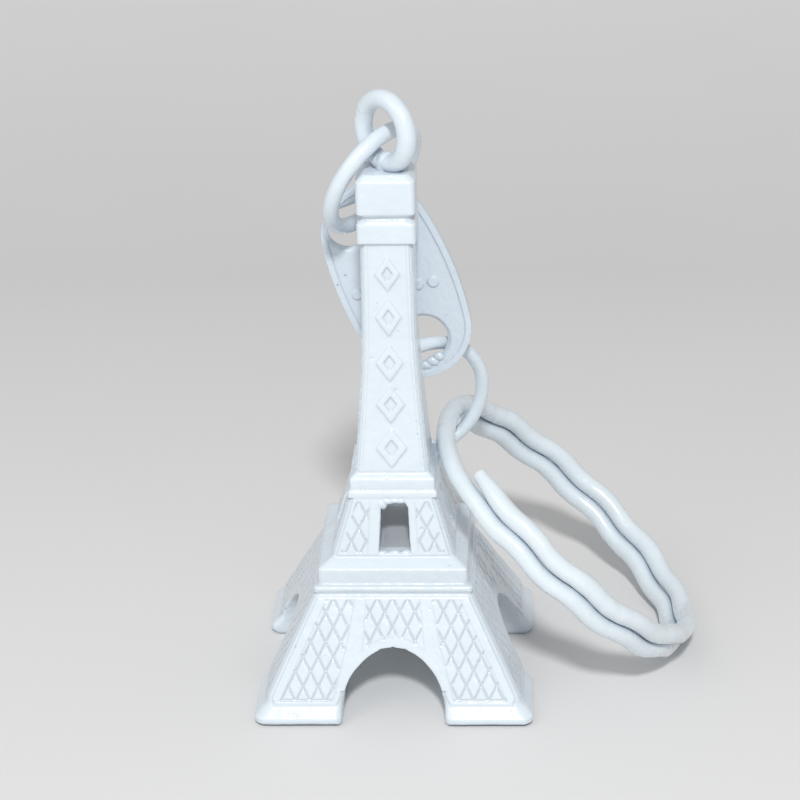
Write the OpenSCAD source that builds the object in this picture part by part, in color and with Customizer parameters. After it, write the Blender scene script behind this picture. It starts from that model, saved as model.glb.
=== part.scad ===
// Tower souvenir keychain: a hollow four-legged tower charm with a loop on its
// head, a jump ring, an oval slotted tag, a second jump ring and a double-turn
// split key ring. The tower stands on its four feet and the chain leans against
// it. Millimetres. Origin on the ground under the middle of the tower, +Z up,
// the tower's front faces -Y.

/* [Tower] */
// Half of the tower's width across the feet
foot_half = 11; // [9:0.1:13]
// Half of the gap between two neighbouring feet
foot_gap_half = 4.08; // [3:0.01:5]
// Half width of the first platform
deck1_half = 5.91; // [5:0.01:7]
// Half width of the second platform
deck2_half = 3.37; // [3:0.01:4]
// Half width of the column just under its collar
column_half = 1.88; // [1.5:0.01:2.5]
// Half width of the collar and the head block
head_half = 2.27; // [2:0.01:2.8]
// Height of the top of the head block
head_top = 42.65; // [38:0.1:46]
// Wall of the hollow second stage
stage_wall = 1.1; // [0.8:0.05:1.6]
// How far the ribs and bands stand out from the faces
rib = 0.15; // [0.05:0.01:0.3]
// How far the diamonds stand out from the column
diamond_rise = 0.3; // [0.1:0.05:0.6]

/* [Loop on the head] */
// Height of the loop's centre
eye_z = 45.5; // [44:0.1:47]
// Mean radius of the loop
eye_r = 2.5; // [2:0.01:3]
// Radius of the loop's wire
eye_wire = 0.75; // [0.5:0.01:1]
// Turn of the loop about the vertical, in degrees
eye_turn = -46.2; // [-90:0.1:90]
// Depth of the shank in the head block
shank_depth = 2.4; // [1:0.1:3]

/* [Upper jump ring] */
// Centre of the upper jump ring
ring1_c = [-1.20, 2.55, 41.00];
// Direction of the upper ring's axis
ring1_n = [0.735, -0.517, -0.438];
// Mean radius of the upper ring
ring1_r = 4.6; // [3.5:0.01:5]
// Radius of the upper ring's wire
ring1_wire = 0.63; // [0.4:0.01:0.8]

/* [Tag] */
// Centre of the tag
tag_c = [0.38, 4.6, 31.67];
// Lean of the tag's long axis in its own plane, in degrees
tag_lean = 21; // [0:0.1:45]
// Half length of the tag
tag_a = 8.5; // [7:0.01:10]
// Half width of the tag
tag_b = 4.75; // [4:0.01:6]
// Radius of the tag's rounded ends
tag_end_r = 4.4; // [3:0.1:4.6]
// Thickness of the tag at its rim
tag_thick = 1; // [0.9:0.05:1.6]
// Depth of the field inside the rim, on each face
tag_sink = 0.12; // [0.05:0.01:0.3]
// Width of the rim
tag_rim = 0.5; // [0.3:0.05:0.8]
// Distance of the upper slot from the centre
slot1_d = 5.6; // [5:0.05:6.5]
// Half height of the upper slot
slot1_r = 1.6; // [1.2:0.01:2]
// Distance of the lower slot from the centre
slot2_d = 5.3; // [4.5:0.05:6]
// Half height of the lower slot
slot2_r = 1.95; // [1.2:0.01:2]
// Bevel round both slots
slot_bevel = 0.3; // [0:0.05:0.4]

/* [Lower jump ring] */
// Centre of the lower jump ring
ring2_c = [2.63, 5.44, 21.24];
// Direction of the lower ring's axis
ring2_n = [0.403, -0.805, -0.078];
// Mean radius of the lower ring
ring2_r = 4.85; // [4:0.01:5.5]
// Radius of the lower ring's wire
ring2_wire = 0.5; // [0.4:0.01:0.7]

/* [Split ring] */
// Centre of the split ring
split_c = [13.61, 4.17, 10.29];
// Direction of the split ring's axis
split_n = [0.682, 0.076, 0.728];
// Mean radius of the split ring
split_r = 13.02; // [11:0.01:15]
// Radius of the split ring's wire
split_wire = 0.77; // [0.6:0.01:1]
// Half of the distance between the two turns
split_lay = 0.8; // [0.7:0.01:1.2]

/* [Hidden] */
$fn = 64;
e = 0.01;

white = [0.93, 0.94, 0.95];

// ---- tower ------------------------------------------------------------
// Half width of the tower against height: feet, lower stage, first platform,
// second stage, second platform, column, collar and head block.
function prof(k) = [
    [foot_half - 0.3, 0], [foot_half + k, 0.35], [foot_half + k, 0.75], [10.1 + k, 1.7], [6.15 + k, 9.3],
    [6.15 + k, 9.5], [6.3 + k, 9.62], [6.3 + k, 9.95], [deck1_half, 10.12],
    [deck1_half, 11.36], [4.8 + k, 11.98], [3.35 + k, 16.44],
    [3.55, 16.5], [3.55, 17.0], [3.25, 17.1], [3.25, 17.19],
    [deck2_half, 17.22], [deck2_half, 18.0], [2.8 + k, 18.46],
    [2.56 + k, 21.1], [2.36 + k, 23.6], [2.17 + k, 26], [2.0 + k, 29.3],
    [1.92 + k, 32.6], [column_half + k, 37.23], [head_half, 37.25],
    [head_half, 38.75], [2.1, 39.05], [1.95, 39.12], [1.95, 39.32],
    [2.1, 39.38], [head_half, 39.6], [head_half, head_top - 0.5], [1.77, head_top]];
function both(p) = concat(p, [for (i = [len(p) - 1 : -1 : 0]) [-p[i][0], p[i][1]]]);

// A flat outline in the X-Z plane, carried through the whole tower along Y.
module through_y(w = 30) rotate([90, 0, 0]) translate([0, 0, -w / 2]) linear_extrude(w) children();
module through_x(w = 30) rotate([0, 0, 90]) through_y(w) children();

module stack(k) intersection() {
    through_y() polygon(both(prof(k)));
    through_x() polygon(both(prof(k)));
}

// Arch between the feet, g grows it outwards.
function arch(g) = both([[foot_gap_half + g, -1], [4.06 + g, 1.0], [3.95 + g, 1.95],
    [3.75 + g, 2.8], [3.45 + g * 0.9, 3.45 + g * 0.4], [3.0 + g * 0.75, 4.05 + g * 0.65],
    [2.45 + g * 0.55, 4.6 + g * 0.85], [1.8 + g * 0.35, 5.08 + g * 0.95],
    [1.0 + g * 0.15, 5.48 + g], [0, 5.65 + g]]);

// Openings of the second stage: flat-headed front and back, arched on the sides.
win = [[-1.1, 12.2], [1.4, 12.2], [1.2, 15.7], [0.9, 16.15], [-0.9, 16.15]];
side_win = [[-1.15, 12.45], [1.15, 12.45], [1.05, 14.9], [0.75, 15.6], [0.3, 15.95],
       [-0.3, 15.95], [-0.75, 15.6], [-1.05, 14.9]];

module hollow() {
    // second stage: a square flue behind the windows
    intersection() {
        through_y() polygon([[-4.6 + stage_wall, 12.45], [4.6 - stage_wall, 12.45], [3.5 - stage_wall, 16.2], [-3.5 + stage_wall, 16.2]]);
        through_x() polygon([[-4.6 + stage_wall, 12.45], [4.6 - stage_wall, 12.45], [3.5 - stage_wall, 16.2], [-3.5 + stage_wall, 16.2]]);
    }
    through_y() polygon(win);
    through_x() polygon(side_win);
}

// Everything that stands out from the slanted faces, drawn on one face.
module rib_outline() {
    // band round the arch
    difference() {
        polygon(arch(0.75));
        polygon(arch(0));
        translate([-15, -2]) square([30, 3.9]);
    }
    // strips beside the arch, from the feet to the first platform
    for (m = [0, 1]) mirror([m, 0]) {
        polygon([[2.25, 9.2], [2.85, 9.2], [3.5, 6.1], [4.7, 1.8], [4.2, 1.8], [2.6, 5.5]]);
        // outer edge of the leg
        polygon([[10.6, 1.6], [9.9, 1.75], [5.75, 9.2], [6.6, 9.2]]);
        // jambs of the second stage
        polygon([[1.45, 12.2], [2.0, 12.2], [1.75, 16.3], [1.25, 16.3]]);
        polygon([[4.25, 12.1], [5.2, 12.1], [3.7, 16.3], [3.0, 16.3]]);
        // edges of the column
        polygon([[2.25, 18.5], [3.1, 18.5], [2.2, 29.3], [2.1, 37.2], [1.5, 37.2], [1.58, 29.3]]);
    }
}
module ribs() intersection() {
    stack(rib);
    union() { through_y() rib_outline(); through_x() rib_outline(); }
}

// Plain raised diamonds up the front of the column.
module diamonds() intersection() {
    stack(diamond_rise);
    translate([0, -5, 0]) rotate([90, 0, 0]) translate([0, 0, -5]) linear_extrude(10)
        for (q = [[34.8, 1.4, 0.95], [31.25, 1.5, 1.0], [27.5, 1.5, 1.05], [24.1, 1.5, 1.1], [20.5, 1.6, 1.2]])
            polygon([[0, q[0] - q[1]], [q[2], q[0]], [0, q[0] + q[1]], [-q[2], q[0]]]);
}

module tower_body() color(white) difference() {
    union() { stack(0); ribs(); diamonds(); }
    through_y() polygon(arch(0));
    through_x() polygon(arch(0));
    hollow();
    translate([0, 0, head_top - shank_depth]) cylinder(r = eye_wire, h = shank_depth + 1);
    loop_ring();
}

// ---- loop on the head ---------------------------------------------------
module loop_ring() translate([0, 0, eye_z]) rotate([0, 0, eye_turn]) rotate([90, 0, 0])
    rotate_extrude() translate([eye_r, 0]) circle(r = eye_wire);
module top_eye() color(white) {
    loop_ring();
    translate([0, 0, head_top - shank_depth]) cylinder(r = eye_wire, h = eye_z - eye_r - head_top + shank_depth);
}

// ---- rings ----------------------------------------------------------------
// Turns +Z to the direction d.
module aim(d) rotate([0, acos(d[2] / norm(d)), atan2(d[1], d[0])]) children();

module wire_ring(c, d, r, w) translate(c) aim(d) rotate_extrude() translate([r, 0]) circle(r = w);

module upper_jump_ring() color(white) wire_ring(ring1_c, ring1_n, ring1_r, ring1_wire);
module lower_jump_ring() color(white) wire_ring(ring2_c, ring2_n, ring2_r, ring2_wire);

// ---- tag --------------------------------------------------------------------
// The tag is drawn lying down: +X along its length to the lower end, +Z to its front.
tag_side_r = (pow(tag_a - tag_end_r, 2) + pow(tag_b, 2) - pow(tag_end_r, 2)) / (2 * (tag_b - tag_end_r));
// shrink s, bottom z, height h: an oval of two end arcs and two side arcs
module oval_blank(s, z, h) {
    x0 = tag_a - tag_end_r;
    tx = x0 + tag_end_r * x0 / norm([x0, tag_side_r - tag_b]);
    translate([0, 0, z]) {
        for (m = [-1, 1]) translate([m * x0, 0, 0]) cylinder(r = tag_end_r - s, h = h);
        intersection() {
            translate([0, tag_side_r - tag_b, 0]) cylinder(r = tag_side_r - s, h = h);
            translate([0, -(tag_side_r - tag_b), 0]) cylinder(r = tag_side_r - s, h = h);
            translate([-tx + s * 0.28, -tag_b - 1, 0]) cube([2 * (tx - s * 0.28), 2 * tag_b + 2, h]);
        }
    }
}
module slot(d, v0, v1, r) translate([d, 0, 0]) {
    for (v = [v0, v1]) translate([0, v, -2]) cylinder(r = r, h = 4);
    translate([-r, v0, -2]) cube([2 * r, v1 - v0, 4]);
    // bevels at both faces
    for (m = [0, 1]) mirror([0, 0, m]) {
        for (v = [v0, v1]) translate([0, v, tag_thick / 2 - tag_sink - slot_bevel])
            cylinder(r1 = r, r2 = r + slot_bevel + 0.4, h = slot_bevel + 0.4);
        translate([0, v0, tag_thick / 2 - tag_sink - slot_bevel]) rotate([-90, 0, 0]) mirror([0, 1, 0])
            linear_extrude(v1 - v0) polygon([[-r, 0], [r, 0], [r + slot_bevel + 0.4, slot_bevel + 0.4], [-r - slot_bevel - 0.4, slot_bevel + 0.4]]);
    }
}
module oval_tag() color(white) translate(tag_c) multmatrix([
        [sin(tag_lean), cos(tag_lean), 0, 0], [0, 0, -1, 0], [-cos(tag_lean), sin(tag_lean), 0, 0], [0, 0, 0, 1]]) {
    difference() {
        oval_blank(0, -tag_thick / 2, tag_thick);
        for (m = [0, 1]) mirror([0, 0, m]) oval_blank(tag_rim, tag_thick / 2 - tag_sink, 1);
        slot(-slot1_d, -1.9, -0.4, slot1_r);
        slot(slot2_d, -1.75, 0.1, slot2_r);
    }
    // small plain bosses on the front
    for (v = [-3.3, -2.1, -0.9, 0.3, 1.5, 2.7]) translate([0.45 + 0.2 * v, v, tag_thick / 2 - tag_sink - e]) cylinder(r = 0.42, h = 0.15 + e);
}

// ---- split ring -----------------------------------------------------------
// In its own frame the wire starts on the upper turn at start_t, runs on to
// cross_t, crosses over to the lower turn and ends at end_t.
start_t = -58;
cross_t = 236;
cross_span = 50;
end_t = 222;
module turn(t0, t1, z) translate([0, 0, z]) rotate([0, 0, t0])
    rotate_extrude(angle = t1 - t0) translate([split_r, 0]) circle(r = split_wire);
// The crossover is one tilted arc, with a small knuckle at each end.
cross_tilt = asin(split_lay / (split_r * sin(cross_span / 2)));
module crossover() {
    mid = cross_t + cross_span / 2;
    rotate([0, 0, mid]) rotate([cross_tilt, 0, 0]) mirror([0, 0, 1])
        rotate([0, 0, -cross_span / 2]) rotate_extrude(angle = cross_span)
            translate([split_r, 0]) circle(r = split_wire);
}
module knuckle(t, z) rotate([0, 0, t]) translate([split_r, 0, z]) sphere(r = split_wire + 0.03);
module split_ring() color(white) translate(split_c) aim(split_n) rotate([0, 0, split_spin0]) {
    turn(start_t, cross_t, split_lay);
    turn(cross_t + cross_span - 360, end_t, -split_lay);
    mirror([0, 0, 1]) crossover();
    knuckle(cross_t, split_lay);
    knuckle(cross_t + cross_span, -split_lay);
}
// Spin about the ring's axis that brings t = 0 to the side nearest the front.
split_spin0 = spin_of(split_n, [0.1108, -0.9938, 0]);
function spin_of(n, a) = let(th = acos(n[2] / norm(n)), ph = atan2(n[1], n[0]),
    ex = [cos(th) * cos(ph), cos(th) * sin(ph), -sin(th)], ey = [-sin(ph), cos(ph), 0]) atan2(a * ey, a * ex);

tower_body();
top_eye();
upper_jump_ring();
oval_tag();
lower_jump_ring();
split_ring();
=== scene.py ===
import bpy, math
import numpy as np
from mathutils import Matrix, Vector


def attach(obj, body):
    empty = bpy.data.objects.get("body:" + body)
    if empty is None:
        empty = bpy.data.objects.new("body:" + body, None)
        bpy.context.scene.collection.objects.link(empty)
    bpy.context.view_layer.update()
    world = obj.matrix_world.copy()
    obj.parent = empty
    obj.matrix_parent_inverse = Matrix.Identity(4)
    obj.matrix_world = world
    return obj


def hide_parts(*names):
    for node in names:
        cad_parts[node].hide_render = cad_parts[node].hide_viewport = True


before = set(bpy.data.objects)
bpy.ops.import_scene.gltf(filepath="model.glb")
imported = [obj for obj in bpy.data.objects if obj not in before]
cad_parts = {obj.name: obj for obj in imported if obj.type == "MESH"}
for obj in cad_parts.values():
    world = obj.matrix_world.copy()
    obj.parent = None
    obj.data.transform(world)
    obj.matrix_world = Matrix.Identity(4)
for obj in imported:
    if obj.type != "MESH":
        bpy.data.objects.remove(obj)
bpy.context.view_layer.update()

MM = 0.001
rng = np.random.default_rng(7)


# ---------------------------------------------------------------- helpers
def unit(v):
    v = np.asarray(v, float)
    return v / np.linalg.norm(v, axis=-1, keepdims=True)


def smooth(a, b, x):
    t = np.clip((x - a) / (b - a), 0.0, 1.0)
    return t * t * (3 - 2 * t)


def link(name, verts_mm, faces, mat, sm=True):
    me = bpy.data.meshes.new(name)
    me.from_pydata([tuple(map(float, v)) for v in (np.asarray(verts_mm) * MM)], [], [tuple(f) for f in faces])
    me.update()
    o = bpy.data.objects.new(name, me)
    bpy.context.scene.collection.objects.link(o)
    if sm:
        me.polygons.foreach_set("use_smooth", np.ones(len(me.polygons), bool))
    me.materials.append(mat)
    return o


def lumps(P, scale, seed):
    """Smooth pseudo-random field made of a few sine waves, about -1 to 1."""
    r = np.random.default_rng(seed)
    out = np.zeros(len(P))
    for k in range(9):
        d = unit(r.normal(size=3)) * (0.6 + 0.9 * r.random()) * 2 * math.pi / scale
        out += np.sin(P @ d + r.random() * 6.28)
    return out / 4.5


def tube(name, path, rad, mat, sides=28, closed=False, flat_start=False, flat_end=False, rough=0.0, seed=1):
    """A round wire swept along path (mm), rad one number or one per point."""
    P = np.asarray(path, float)
    n = len(P)
    rad = np.full(n, float(rad)) if np.isscalar(rad) else np.asarray(rad, float)
    if not closed:
        # rounded or nearly square ends
        def cap(p, t, r, flat):
            fr = [(0.0, 0.0), (0.5, 0.004), (0.84, 0.03), (0.96, 0.12), (1.0, 0.26)] if flat else \
                 [(math.sin(a), 1 - math.cos(a)) for a in np.linspace(0, math.pi / 2, 8)[:]]
            return [(p + t * (r * (h - (fr[-1][1]))), r * max(w, 0.002)) for w, h in fr]
        t0 = unit(P[1] - P[0]); t1 = unit(P[-1] - P[-2])
        a = cap(P[0], t0, rad[0], flat_start)
        b = [(p, r) for p, r in reversed(cap(P[-1], -t1, rad[-1], flat_end))]
        P = np.vstack([[p for p, r in a[:-1]], P, [p for p, r in b[1:]]])
        rad = np.concatenate([[r for p, r in a[:-1]], rad, [r for p, r in b[1:]]])
        n = len(P)
    T = np.empty_like(P)
    if closed:
        T = unit(np.roll(P, -1, 0) - np.roll(P, 1, 0))
    else:
        T[1:-1] = P[2:] - P[:-2]
        T[0] = P[1] - P[0]; T[-1] = P[-1] - P[-2]
        k = 9
        T = unit(T)
        T[:k] = T[k]; T[-k:] = T[-k - 1]
    up = np.array([0.13, 0.31, 0.94]); u = unit(np.cross(T[0], up))
    V = []
    ang = np.linspace(0, 2 * math.pi, sides, endpoint=False)
    for i in range(n):
        u = unit(u - T[i] * (u @ T[i])); w = np.cross(T[i], u)
        V.append(P[i] + rad[i] * (np.cos(ang)[:, None] * u + np.sin(ang)[:, None] * w))
    if closed:
        pass
    V = np.array(V).reshape(-1, 3)
    F = []
    m = n if closed else n - 1
    off = 0
    if closed:
        # line the last ring up with the first one
        first = V[:sides]; last = V[-sides:]
        off = int(np.argmin([np.abs(np.roll(first, -k, 0) - last).sum() for k in range(sides)]))
    for i in range(m):
        j = (i + 1) % n
        sh = off if (closed and i == n - 1) else 0
        for k in range(sides):
            k2 = (k + 1) % sides
            F.append((i * sides + k, i * sides + k2, j * sides + (k2 + sh) % sides, j * sides + (k + sh) % sides))
    if not closed:
        F.append(tuple(range(sides - 1, -1, -1)))
        F.append(tuple(range((n - 1) * sides, n * sides)))
    if rough:
        C = np.repeat(P, sides, 0); D = unit(V - C + 1e-9)
        V = V + D * (rough * lumps(V, 1.9, seed) + 0.5 * rough * lumps(V, 0.7, seed + 1))[:, None]
    return link(name, V, F, mat)


def remeshed(node, voxel, smooth_n, name, mat, relief=None):
    """The CAD piece as one coat of thick enamel: rebuilt finely, edges rounded, then relief (mm) along the normals."""
    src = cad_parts[node]
    me = src.data.copy()
    M = np.array(src.matrix_world)
    co = np.empty(len(me.vertices) * 3); me.vertices.foreach_get("co", co); co = co.reshape(-1, 3)
    co = (co @ M[:3, :3].T + M[:3, 3]) * 1000.0
    me.vertices.foreach_set("co", co.ravel()); me.update()
    tmp = bpy.data.objects.new("tmp_" + node, me)
    bpy.context.scene.collection.objects.link(tmp)
    r = tmp.modifiers.new("r", "REMESH"); r.mode = "VOXEL"; r.voxel_size = voxel
    s = tmp.modifiers.new("s", "SMOOTH"); s.factor = 0.5; s.iterations = smooth_n
    dg = bpy.context.evaluated_depsgraph_get()
    new = bpy.data.meshes.new_from_object(tmp.evaluated_get(dg))
    bpy.data.objects.remove(tmp)
    n = len(new.vertices)
    co = np.empty(n * 3); new.vertices.foreach_get("co", co); co = co.reshape(-1, 3)
    no = np.empty(n * 3); new.vertices.foreach_get("normal", no); no = no.reshape(-1, 3)
    shade = None
    if relief is not None:
        co, shade = relief(co, no)
    new.vertices.foreach_set("co", (co * MM).ravel()); new.update()
    new.name = name
    o = bpy.data.objects.new(name, new)
    bpy.context.scene.collection.objects.link(o)
    new.polygons.foreach_set("use_smooth", np.ones(len(new.polygons), bool))
    new.materials.clear(); new.materials.append(mat)
    if shade is not None:
        at = new.attributes.new("shade", "FLOAT", "POINT"); at.data.foreach_set("value", shade.astype(np.float32))
    return o


# ---------------------------------------------------------------- materials
def enamel(name, base, rough=0.28, bump=0.25, speck=0.5, seed=0.0, coat=0.5, grey=(0.36, 0.37, 0.38), shade_col=(0.40, 0.43, 0.46)):
    m = bpy.data.materials.new(name)
    m.use_nodes = True
    nt = m.node_tree; N = nt.nodes; L = nt.links
    N.clear()
    out = N.new("ShaderNodeOutputMaterial"); b = N.new("ShaderNodeBsdfPrincipled")
    L.new(b.outputs[0], out.inputs[0])
    tc = N.new("ShaderNodeTexCoord")
    mp = N.new("ShaderNodeMapping"); mp.inputs["Location"].default_value = (seed, seed * 0.7, -seed)
    L.new(tc.outputs["Object"], mp.inputs["Vector"])

    def noise(scale, detail=2.0, rg=0.5):
        n = N.new("ShaderNodeTexNoise"); n.inputs["Scale"].default_value = scale
        n.inputs["Detail"].default_value = detail; n.inputs["Roughness"].default_value = rg
        L.new(mp.outputs[0], n.inputs["Vector"]); return n

    def ramp(src, p0, p1, c0, c1):
        r = N.new("ShaderNodeValToRGB"); r.color_ramp.elements[0].position = p0; r.color_ramp.elements[1].position = p1
        r.color_ramp.elements[0].color = tuple(c0) + (1,); r.color_ramp.elements[1].color = tuple(c1) + (1,)
        L.new(src, r.inputs[0]); return r

    def mix(fac, a, c, kind="MIX"):
        x = N.new("ShaderNodeMixRGB"); x.blend_type = kind
        if isinstance(fac, float): x.inputs[0].default_value = fac
        else: L.new(fac, x.inputs[0])
        for s, v in ((1, a), (2, c)):
            if isinstance(v, tuple): x.inputs[s].default_value = v + (1,)
            else: L.new(v, x.inputs[s])
        return x.outputs[0]
    # slow thickness and shade changes of the coat
    big = noise(330.0, 3.0)
    tone = ramp(big.outputs[0], 0.3, 0.72, tuple(c * 0.965 for c in base), base)
    # milky bluish pools
    pool = noise(900.0, 2.0)
    pr = ramp(pool.outputs[0], 0.55, 0.8, (0, 0, 0), (0.35, 0.35, 0.35))
    col = mix(pr.outputs[0], tone.outputs[0], (base[0] * 0.93, base[1] * 0.955, base[2] * 0.99))
    # dark pinholes
    vo = N.new("ShaderNodeTexVoronoi"); vo.inputs["Scale"].default_value = 620.0
    L.new(mp.outputs[0], vo.inputs["Vector"])
    pin = ramp(vo.outputs["Distance"], 0.03, 0.085, (1, 1, 1), (0, 0, 0))
    gate = noise(260.0, 1.0)
    gr = ramp(gate.outputs[0], 0.57, 0.62, (0, 0, 0), (speck, speck, speck))
    pm = N.new("ShaderNodeMath"); pm.operation = "MULTIPLY"
    L.new(pin.outputs[0], pm.inputs[0]); L.new(gr.outputs[0], pm.inputs[1])
    col = mix(pm.outputs[0], col, grey)
    # creases gather shade
    ao = N.new("ShaderNodeAmbientOcclusion"); ao.inputs["Distance"].default_value = 0.0009; ao.samples = 6
    ar = ramp(ao.outputs["AO"], 0.25, 0.95, (0.72, 0.745, 0.80), (1, 1, 1))
    col = mix(1.0, col, ar.outputs[0], "MULTIPLY")
    at = N.new("ShaderNodeAttribute"); at.attribute_name = "shade"
    ag = N.new("ShaderNodeMath"); ag.operation = "MINIMUM"; ag.inputs[1].default_value = 1.0
    L.new(at.outputs["Fac"], ag.inputs[0])
    col = mix(ag.outputs[0], col, shade_col)
    L.new(col, b.inputs["Base Color"])
    rr = noise(700.0, 2.0)
    rm = N.new("ShaderNodeMapRange"); L.new(rr.outputs[0], rm.inputs["Value"])
    rm.inputs["To Min"].default_value = rough - 0.06; rm.inputs["To Max"].default_value = rough + 0.12
    L.new(rm.outputs[0], b.inputs["Roughness"])
    for k, v in (("Coat Weight", coat), ("Coat Roughness", 0.12), ("Specular IOR Level", 0.5), ("IOR", 1.5)):
        if k in b.inputs: b.inputs[k].default_value = v
    # orange peel, brush lumps and the pinholes' dents
    fine = noise(2600.0, 2.0, 0.6); mid = noise(820.0, 3.0, 0.55)
    a1 = N.new("ShaderNodeMath"); a1.operation = "MULTIPLY_ADD"; L.new(mid.outputs[0], a1.inputs[0]); a1.inputs[1].default_value = 1.6; L.new(fine.outputs[0], a1.inputs[2])
    a2 = N.new("ShaderNodeMath"); a2.operation = "MULTIPLY_ADD"; L.new(pm.outputs[0], a2.inputs[0]); a2.inputs[1].default_value = -2.2; L.new(a1.outputs[0], a2.inputs[2])
    bp = N.new("ShaderNodeBump"); bp.inputs["Strength"].default_value = bump; bp.inputs["Distance"].default_value = 0.00006
    L.new(a2.outputs[0], bp.inputs["Height"]); L.new(bp.outputs[0], b.inputs["Normal"])
    if "Coat Normal" in b.inputs: L.new(bp.outputs[0], b.inputs["Coat Normal"])
    return m


WHITE = (0.69, 0.765, 0.825)
m_tower = enamel("enamel_casting", WHITE, 0.30, 0.30, 0.6, 0.0)
m_eye = enamel("enamel_loop", WHITE, 0.26, 0.25, 0.3, 3.1)
m_ring1 = enamel("enamel_upper_ring", WHITE, 0.26, 0.25, 0.3, 5.7)
m_tag = enamel("enamel_tag", (0.62, 0.695, 0.765), 0.33, 0.35, 0.8, 9.3)
m_ring2 = enamel("enamel_lower_ring", (0.68, 0.76, 0.82), 0.26, 0.3, 0.5, 12.9)
m_split = enamel("enamel_split_ring", (0.70, 0.775, 0.82), 0.24, 0.3, 0.45, 17.2, 0.7)


# ---------------------------------------------------------------- tower
def lines(a, w):
    """1 on thin lines where a is whole, w their half width in the same unit."""
    d = np.abs(a - np.round(a))
    return 1 - smooth(w * 0.35, w, d)


def tower_relief(P, Nn):
    x, y, z = P.T
    front = np.abs(Nn[:, 1]) >= np.abs(Nn[:, 0])
    s = np.where(front, x, y)
    q = np.where(front, np.abs(y), np.abs(x))
    facing = np.maximum(np.abs(Nn[:, 0]), np.abs(Nn[:, 1]))
    outward = np.where(front, y * Nn[:, 1], x * Nn[:, 0]) > 0
    a = np.abs(s)
    left = s < 0
    on = smooth(0.70, 0.85, facing) * outward
    d = np.zeros(len(P))
    # lower stage
    w = np.interp(z, [1.7, 9.3], [10.1, 6.15])
    pil_o = np.interp(z, [1.8, 6.1, 9.2], [4.75, 3.55, 2.95])
    pil_i = np.interp(z, [5.5, 9.2], [2.5, 2.15])
    outer = w - q < 0.5
    legs = smooth(0.10, 0.22, a - pil_o) * smooth(0.95, 1.15, w - a) * smooth(1.95, 2.15, z) * smooth(9.05, 8.9, z)
    f1 = a / 1.19 + z / 2.06 - np.where(left, 0.40, 0.30)
    f2 = a / 1.19 - z / 2.06 - np.where(left, 0.55, 0.37) + 0.0
    lat = np.maximum(lines(f1, 0.085), lines(f2, 0.085))
    az = np.interp(a, [0, 1.0, 1.8, 2.45, 3.0], [5.65, 5.5, 5.1, 4.6, 4.05])
    mid = smooth(0.08, 0.2, pil_i - a) * smooth(0.75, 0.95, z - az) * smooth(9.05, 8.9, z)
    g1 = s / 1.19 + z / 2.06 - 0.40
    g2 = s / 1.19 - z / 2.06 - 0.50
    lat2 = np.maximum(lines(g1, 0.085), lines(g2, 0.085))
    d -= 0.11 * lat * legs * on * outer
    d -= 0.11 * lat2 * mid * on * outer
    # foot line over the leg lattice and soft border of each panel
    d -= 0.07 * (1 - smooth(0.05, 0.13, np.abs(z - 1.98))) * (a > pil_o + 0.1) * (w - a > 1.0) * on * outer
    # second stage
    w2 = np.interp(z, [11.98, 16.44], [4.8, 3.35])
    o2 = (w2 - q < 0.4) & (z > 12.1) & (z < 16.4)
    j = np.interp(z, [12.2, 16.3], [1.98, 1.72])
    pan = smooth(0.05, 0.15, a - j) * smooth(0.5, 0.62, w2 - a) * smooth(12.25, 12.4, z) * smooth(16.25, 16.1, z)
    h1 = a / 1.19 + z / 2.06 - 0.15
    h2 = a / 1.19 - z / 2.06 - 0.35
    lat3 = np.maximum(lines(h1, 0.09), lines(h2, 0.09))
    d -= 0.10 * lat3 * pan * on * o2
    # painted shade in the engraved lattice lines, along the foot line and along the pilaster, arch and window-jamb
    # borders
    sh = 0.24 * np.maximum(lat * legs, lat2 * mid) * on * outer + 0.24 * lat3 * pan * on * o2
    sh += 0.25 * (1 - smooth(0.05, 0.13, np.abs(z - 1.98))) * (a > pil_o + 0.1) * (w - a > 1.0) * on * outer
    zz = smooth(1.95, 2.1, z) * smooth(9.1, 8.95, z) * on * outer
    sh += 0.26 * np.exp(-((a - pil_o - 0.06) / 0.07) ** 2) * zz
    sh += 0.22 * np.exp(-((a - pil_i + 0.04) / 0.06) ** 2) * zz * (z > 5.4)
    sh += 0.26 * np.exp(-((w - a - 1.02) / 0.07) ** 2) * zz
    sh += 0.22 * np.exp(-((z - az - 0.78) / 0.07) ** 2) * (a < 2.3) * on * outer
    sh += 0.22 * np.exp(-((a - j - 0.03) / 0.06) ** 2) * smooth(12.2, 12.35, z) * smooth(16.3, 16.2, z) * on * o2
    # painted shade inside the hollow of the second stage
    m = np.maximum(np.abs(x), np.abs(y)); flue = 3.5 - (z - 12.45) * 0.293
    ins = (m < flue + 0.12) & (z > 12.0) & (z < 16.35)
    sh += 0.72 * ins
    # plain raised lozenges up the front, each with a smaller one sunk into it; painted shade along both outlines
    fr = front * (y < 0) * on
    for (zc, hh, hw) in ((34.8, 1.4, 0.95), (31.25, 1.5, 1.0), (27.5, 1.5, 1.05), (24.1, 1.5, 1.1), (20.5, 1.6, 1.2)):
        rr_ = np.abs(s) / hw + np.abs(z - zc) / hh
        near = (np.abs(z - zc) < hh * 1.3) * fr
        sh += 0.20 * np.exp(-((rr_ - 1.03) / 0.055) ** 2) * near
        d -= 0.16 * (1 - smooth(0.36, 0.50, rr_)) * near
        sh += 0.16 * np.exp(-((rr_ - 0.44) / 0.05) ** 2) * near
    # painted shade line just inside the edge rims of the column
    cw = np.interp(z, [18.5, 21.1, 23.6, 26, 29.3, 32.6, 37.4], [2.8, 2.56, 2.36, 2.17, 2.0, 1.92, 1.88])
    col_on = smooth(18.7, 18.9, z) * smooth(37.3, 37.1, z) * on
    sh += 0.19 * np.exp(-((cw - a - 0.42) / 0.06) ** 2) * col_on
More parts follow.
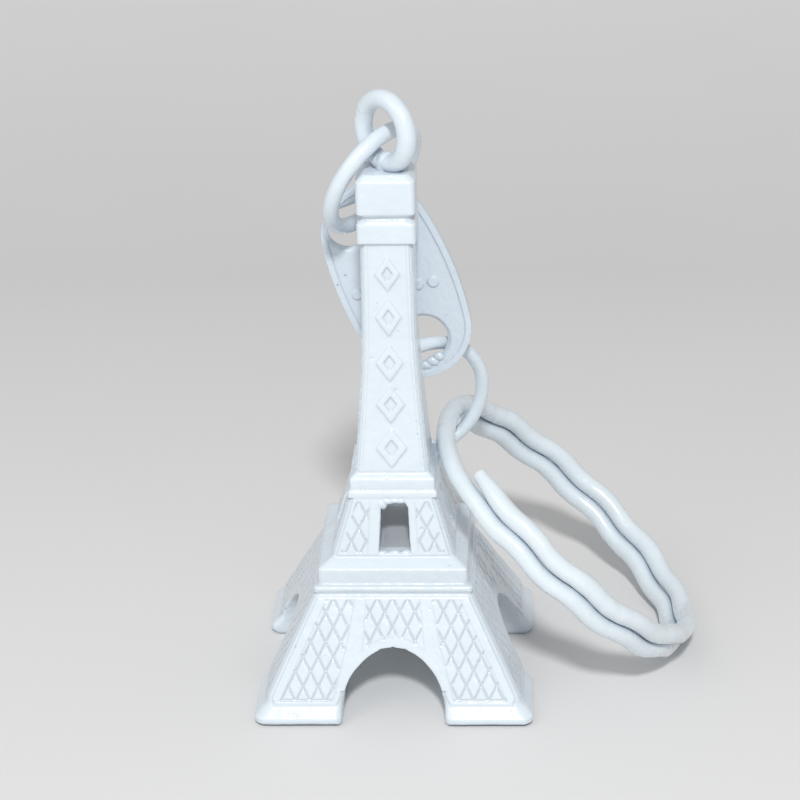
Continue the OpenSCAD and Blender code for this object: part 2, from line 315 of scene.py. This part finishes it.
    # painted shade in the grooves under both platforms, under the collar and in the neck below the head
    sh += 0.30 * np.exp(-((z - 10.06) / 0.07) ** 2) * (m > 5.7) * (m < 6.3) + 0.28 * np.exp(-((z - 17.13) / 0.07) ** 2) * (m > 3.1) * (m < 3.7)
    sh += 0.25 * np.exp(-((z - 37.24) / 0.06) ** 2) + 0.30 * np.exp(-((z - 39.22) / 0.10) ** 2)
    # darker along the lowest 0.3 mm of the feet
    sh += 0.55 * (1 - smooth(0.10, 0.32, z)) * (m > 3.9)
    # thick, uneven enamel
    d += 0.018 * lumps(P, 2.6, 3) + 0.010 * lumps(P, 1.1, 4) + 0.004 * lumps(P, 0.45, 5)
    # pinholes
    r = np.random.default_rng(11)
    idx = r.integers(0, len(P), 150)
    for i in idx:
        c = P[i]
        if c[2] > 41.5 or c[2] < 0.4: continue
        rr = ((P - c) ** 2).sum(1) if False else None
    out = P + Nn * d[:, None]
    # small pits, done in one go through a coarse grid
    cell = 0.35
    key = np.floor(P / cell).astype(np.int64)
    code = (key[:, 0] * 73856093) ^ (key[:, 1] * 19349663) ^ (key[:, 2] * 83492791)
    order = np.argsort(code, kind="stable"); cs = code[order]
    for i in idx:
        c = P[i]; kr = np.floor(c / cell).astype(np.int64); r0 = r.random(); R = 0.06 + 0.06 * r.random(); dep = 0.04 + 0.05 * r.random()
        for dx in (-1, 0, 1):
            for dy in (-1, 0, 1):
                for dz in (-1, 0, 1):
                    kk = ((kr[0] + dx) * 73856093) ^ ((kr[1] + dy) * 19349663) ^ ((kr[2] + dz) * 83492791)
                    a0, a1 = np.searchsorted(cs, kk), np.searchsorted(cs, kk, side="right")
                    ii = order[a0:a1]
                    if len(ii):
                        t = np.exp(-((P[ii] - c) ** 2).sum(1) / (R * R))
                        out[ii] -= Nn[ii] * (dep * t)[:, None]
                        sh[ii] += 0.45 * t * (r0 > 0.55)
    # rounded lips of the feet
    k = np.clip(1 - z / 0.45, 0, 1) ** 2 * 0.22
    for ax in (0, 1):
        out[:, ax] -= np.sign(out[:, ax]) * k * (np.abs(P[:, ax]) > 10.2)
    # every corner of the square plan is softened by the coat
    W = np.interp(z, [0, 0.35, 0.75, 1.7, 9.3, 9.62, 9.95, 10.12, 11.36, 11.98, 16.44, 16.5, 17.0, 17.22, 18.0, 18.46, 21.1, 23.6, 26, 29.3, 37.2, 37.25, 38.75, 39.12, 39.32, 39.6, 42.15, 42.65],
                  [10.7, 11, 11, 10.1, 6.15, 6.3, 6.3, 5.91, 5.91, 4.8, 3.35, 3.55, 3.55, 3.37, 3.37, 2.8, 2.56, 2.36, 2.17, 2.0, 1.88, 2.27, 2.27, 1.95, 1.95, 2.27, 2.27, 1.77])
    rc = np.interp(z, [0, 1.4, 2.2, 9.2, 9.6, 12, 16.4, 17.2, 18.3, 37.2, 37.3, 42.65], [1.0, 0.9, 0.28, 0.25, 0.35, 0.3, 0.25, 0.3, 0.18, 0.15, 0.42, 0.5])
    cx = W - rc
    pa, qa = np.abs(out[:, 0]), np.abs(out[:, 1])
    dd = np.hypot(pa - cx, qa - cx)
    f = np.where((pa > cx) & (qa > cx) & (dd > rc), rc / np.maximum(dd, 1e-6), 1.0)
    out[:, 0] = np.where(f < 1, np.sign(out[:, 0]) * (cx + (pa - cx) * f), out[:, 0])
    out[:, 1] = np.where(f < 1, np.sign(out[:, 1]) * (cx + (qa - cx) * f), out[:, 1])
    # the feet's inner corners, beside the arches
    for ax, ay in ((0, 1), (1, 0)):
        p, q = np.abs(out[:, ax]), np.abs(out[:, ay])
        ri = 0.02 + 0.58 * (1 - smooth(1.0, 2.6, z)); c0, c1 = 4.08 + ri, W - ri
        g = np.hypot(p - c0, q - c1)
        k2 = (p < c0) & (p > 3.8) & (q > c1) & (g > ri) & (z < 2.6)
        f = np.where(k2, ri / np.maximum(g, 1e-6), 1.0)
        out[:, ax] = np.where(k2, np.sign(out[:, ax]) * (c0 + (p - c0) * f), out[:, ax])
        out[:, ay] = np.where(k2, np.sign(out[:, ay]) * (c1 + (q - c1) * f), out[:, ay])
    # painted shade on the slanted faces of the lower and second stages, which face the key light
    sh += 0.15 * smooth(0.4, 1.2, z) * smooth(16.5, 16.3, z) * on * (outer | o2)
    out[:, 2] = np.maximum(out[:, 2], 0.0)
    return out, sh


vox = 0.075
tower = remeshed("tower_body", vox, 14, "tower_enamel", m_tower, tower_relief)
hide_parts("tower_body"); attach(tower, "tower")



def blobs(name, items, mat, sub=3):
    """Drops of enamel: one mesh of small ellipsoids, items (centre mm, radii mm)."""
    V = []; F = []
    na, nb = 16, 10
    for k, (c, r) in enumerate(items):
        base = len(V)
        for j in range(nb + 1):
            th = math.pi * j / nb
            for i in range(na):
                ph = 2 * math.pi * i / na
                q = np.array([math.sin(th) * math.cos(ph), math.sin(th) * math.sin(ph), math.cos(th)])
                q = q * (1 + 0.08 * math.sin(3 * ph + k) * math.sin(2 * th + k))
                V.append(np.array(c) + q * np.array(r))
        for j in range(nb):
            for i in range(na):
                a0 = base + j * na + i; a1 = base + j * na + (i + 1) % na
                F.append((a0, a0 + na, a1 + na, a1))
    return link(name, V, F, mat)


# drops along the sill and under the head of the front window
sill = blobs("sill_drops", [((-0.90, -4.52, 12.12), (0.50, 0.32, 0.26)), ((-0.35, -4.54, 12.05), (0.55, 0.30, 0.22)), ((0.15, -4.52, 12.12), (0.50, 0.32, 0.27)),
                            ((0.62, -4.54, 12.05), (0.52, 0.30, 0.21)), ((1.05, -4.52, 12.14), (0.46, 0.32, 0.28)), ((1.42, -4.52, 12.08), (0.40, 0.30, 0.24)),
                            ((-0.92, -3.35, 15.92), (0.52, 0.36, 0.50)), ((-0.45, -3.32, 16.18), (0.60, 0.34, 0.30)), ((0.15, -3.32, 16.24), (0.60, 0.34, 0.26)),
                            ((0.65, -3.32, 16.20), (0.45, 0.34, 0.26)), ((-1.12, -3.60, 15.1), (0.20, 0.26, 0.9))], m_tower)
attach(sill, "tower")

# ---------------------------------------------------------------- loop on the head
ez, er, ew = 45.5, 2.5, 0.75
e1 = np.array([math.cos(math.radians(-46.2)), math.sin(math.radians(-46.2)), 0.0]); e3 = np.array([0, 0, 1.0])
en = np.cross(e1, e3)


def eye_pt(t, dr=0.0, off=0.0):
    t = math.radians(t)
    return np.array([0, 0, ez]) + (er + dr) * (math.cos(t) * e1 + math.sin(t) * e3) + en * off


# the wire rises out of the block, runs round the loop and butts against its own start
arcA = [eye_pt(t, 0.0, 0.0) for t in np.linspace(-104, 146, 90)]
eyeA = tube("eye_main", arcA, 0.745, m_eye, 30, rough=0.012, seed=21)
arcB = [eye_pt(t, -0.03, 0.0) for t in np.linspace(148.5, 268, 50)]
eyeB = tube("eye_tail", arcB, 0.715, m_eye, 30, rough=0.012, seed=23)
shank = tube("eye_shank", [np.array([0, 0, z]) for z in np.linspace(40.3, 43.2, 14)],
             [0.74] * 4 + [0.76, 0.80, 0.86, 0.90, 0.90, 0.86, 0.8, 0.78, 0.76, 0.74], m_eye, 30)
for o in (eyeA, eyeB, shank):
    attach(o, "tower")
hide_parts("top_eye")


# ---------------------------------------------------------------- rings
def ring_frame(n):
    n = unit(n); a = unit(np.cross(n, [0, 0, 1.0])); return a, np.cross(n, a), n


def ring_path(C, n, R, N=220, wob=0.0, seed=0):
    a, b, n = ring_frame(n); t = np.linspace(0, 2 * math.pi, N, endpoint=False)
    P = np.array(C) + R * (np.cos(t)[:, None] * a + np.sin(t)[:, None] * b)
    return P


C1, n1, R1 = [-1.20, 2.55, 41.00], [0.735, -0.517, -0.438], 4.6
P = ring_path(C1, n1, R1)
ring1 = tube("upper_ring_enamel", P, 0.63 + 0.0 * P[:, 0], m_ring1, 30, closed=True, rough=0.012, seed=31)
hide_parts("upper_jump_ring"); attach(ring1, "upper_ring")

C2, n2, R2 = [2.63, 5.44, 21.24], [0.403, -0.805, -0.078], 4.85
P = ring_path(C2, n2, R2)
ring2 = tube("lower_ring_enamel", P, 0.55, m_ring2, 28, closed=True, rough=0.012, seed=37)
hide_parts("lower_jump_ring"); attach(ring2, "lower_ring")


# ---------------------------------------------------------------- tag
TL = math.radians(21); TC = np.array([0.38, 4.6, 31.67])
tu = np.array([math.sin(TL), 0, -math.cos(TL)]); tv = np.array([math.cos(TL), 0, math.sin(TL)])


def tag_relief(P, Nn):
    d = 0.010 * lumps(P, 2.2, 13) + 0.006 * lumps(P, 0.7, 14)
    r = P - TC; u = r @ tu; v = r @ tv
    sh = np.zeros(len(P))
    for (pu, pv, R) in ((4.0, 2.6, 0.10), (0.9, 2.2, 0.08), (-1.0, 2.9, 0.05), (2.4, -2.6, 0.07), (6.9, 1.3, 0.06)):
        sh += 0.6 * np.exp(-((u - pu) ** 2 + (v - pv) ** 2) / (R * R))
    return P + Nn * d[:, None], sh


tag = remeshed("oval_tag", 0.05, 5, "tag_enamel", m_tag, tag_relief)
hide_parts("oval_tag"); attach(tag, "tag")

def on_tag(u, v, h):
    return TC + u * tu + v * tv + np.array([0, -h, 0])


drops = blobs("slot_drops", [(on_tag(7.45, -0.6, 0.22), (0.62, 0.34, 0.40)), (on_tag(7.35, 0.10, 0.24), (0.58, 0.34, 0.42)), (on_tag(7.15, 0.72, 0.26), (0.46, 0.32, 0.38)),
                             (on_tag(7.40, -1.35, 0.22), (0.62, 0.34, 0.40))], m_tag)
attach(drops, "tag")

# ---------------------------------------------------------------- split ring
SC = np.array([13.61, 4.17, 10.29]); sn = unit([0.682, 0.076, 0.728])
sa = np.array([0.1108, -0.9938, 0]); sa = unit(sa - sn * (sa @ sn)); sb = np.cross(sn, sa)


WAVE_PHASE = 2.4


def split_path(t):
    """t in degrees along the whole wire, upper turn first."""
    u = np.clip((t - 228) / 70, 0, 1); k = u * u * (3 - 2 * u)
    lay = 0.8 * (1 - 2 * k)
    tt = np.radians(t)
    # both turns carry the same waves, which fade near the crossover
    ph = np.where(t > 260, t - 360, t)
    fade = smooth(-62, -30, ph) * (1 - smooth(205, 235, ph))
    wav = 0.135 * np.sin(14 * tt + WAVE_PHASE) * fade
    P = SC + (13.02 + 0.05 * np.sin(5 * tt))[:, None] * (np.cos(tt)[:, None] * sa + np.sin(tt)[:, None] * sb) + (lay + wav)[:, None] * sn
    return P


tt = np.linspace(-58, 222 + 360, 900)
P = split_path(tt)
# the free end is filed a little thinner, and enamel bridges parts of the gap between the turns
srad = 0.785 - 0.20 * (1 - smooth(-58, -46, tt)) + 0.018 * np.sin(np.radians(tt) * 9.0 + 1.0)
split = tube("split_ring_enamel", P, srad, m_split, 26, flat_start=True, flat_end=True, rough=0.014, seed=41)
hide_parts("split_ring"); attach(split, "key_ring")

# ---------------------------------------------------------------- floor, light, camera
fm = bpy.data.materials.new("floor_paper"); fm.use_nodes = True
nt = fm.node_tree; b = nt.nodes["Principled BSDF"]
b.inputs["Roughness"].default_value = 0.75
if "Specular IOR Level" in b.inputs: b.inputs["Specular IOR Level"].default_value = 0.15
# painted light falloff: the floor colour darkens going back from the front and lightens again far back
tc = nt.nodes.new("ShaderNodeTexCoord"); sx = nt.nodes.new("ShaderNodeSeparateXYZ"); nt.links.new(tc.outputs["Object"], sx.inputs[0])
mr = nt.nodes.new("ShaderNodeMapRange"); mr.inputs["From Min"].default_value = -0.035; mr.inputs["From Max"].default_value = 0.30
nt.links.new(sx.outputs["Y"], mr.inputs["Value"])
cr = nt.nodes.new("ShaderNodeValToRGB"); nt.links.new(mr.outputs[0], cr.inputs[0])
cr.color_ramp.elements[0].color = (0.765, 0.765, 0.765, 1); cr.color_ramp.elements[1].color = (0.845, 0.835, 0.84, 1)
ce = cr.color_ramp.elements.new(0.37); ce.color = (0.615, 0.608, 0.606, 1)
nz = nt.nodes.new("ShaderNodeTexNoise"); nz.inputs["Scale"].default_value = 35.0; nt.links.new(tc.outputs["Object"], nz.inputs["Vector"])
mx = nt.nodes.new("ShaderNodeMixRGB"); mx.blend_type = "MULTIPLY"; mx.inputs[0].default_value = 0.03
nt.links.new(cr.outputs[0], mx.inputs[1]); nt.links.new(nz.outputs[0], mx.inputs[2]); nt.links.new(mx.outputs[0], b.inputs["Base Color"])
fl = bpy.data.meshes.new("floor"); S = 2.5
fl.from_pydata([(-S, -S, -0.00002), (S, -S, -0.00002), (S, S, -0.00002), (-S, S, -0.00002)], [], [(0, 1, 2, 3)])
floor = bpy.data.objects.new("floor", fl); bpy.context.scene.collection.objects.link(floor); fl.materials.append(fm)


def area(name, loc, target, size, power, col=(1, 1, 1)):
    ld = bpy.data.lights.new(name, "AREA"); ld.shape = "DISK"; ld.size = size; ld.energy = power; ld.color = col
    o = bpy.data.objects.new(name, ld); bpy.context.scene.collection.objects.link(o)
    o.location = loc
    o.rotation_euler = (Vector(target) - Vector(loc)).to_track_quat("-Z", "Y").to_euler()
    return o


area("key", (0.07, -0.82, 0.87), (0, 0, 0.0), 0.13, 8.9, (1.0, 0.995, 0.985))
area("fill", (-0.45, -0.35, 0.50), (0, 0, 0.02), 0.50, 0.7, (0.97, 0.985, 1.0))
area("low_front", (0.05, -0.70, 0.10), (0, 0, 0.01), 0.40, 0.22, (1.0, 0.99, 0.98))
w = bpy.data.worlds.new("studio"); bpy.context.scene.world = w; w.use_nodes = True
bg = w.node_tree.nodes["Background"]; bg.inputs[0].default_value = (0.985, 0.99, 1.0, 1); bg.inputs[1].default_value = 0.50

cam = bpy.data.cameras.new("cam"); cam.lens = 111.2; cam.sensor_width = 36.0; cam.clip_start = 0.005; cam.clip_end = 20
co = bpy.data.objects.new("cam", cam); bpy.context.scene.collection.objects.link(co)
az, el, ro = math.radians(3.12), math.radians(23.885), math.radians(-1.52)
fw = Vector((-math.sin(az) * math.cos(el), math.cos(az) * math.cos(el), -math.sin(el)))
rt = Vector((math.cos(az), math.sin(az), 0)); upv = rt.cross(fw)
Rr = rt * math.cos(ro) + upv * math.sin(ro); Uu = -rt * math.sin(ro) + upv * math.cos(ro)
co.matrix_world = Matrix(((Rr.x, Uu.x, -fw.x, 0.010314), (Rr.y, Uu.y, -fw.y, -0.17797), (Rr.z, Uu.z, -fw.z, 0.102293), (0, 0, 0, 1)))
bpy.context.scene.camera = co
bpy.context.scene.view_settings.view_transform = "Standard"
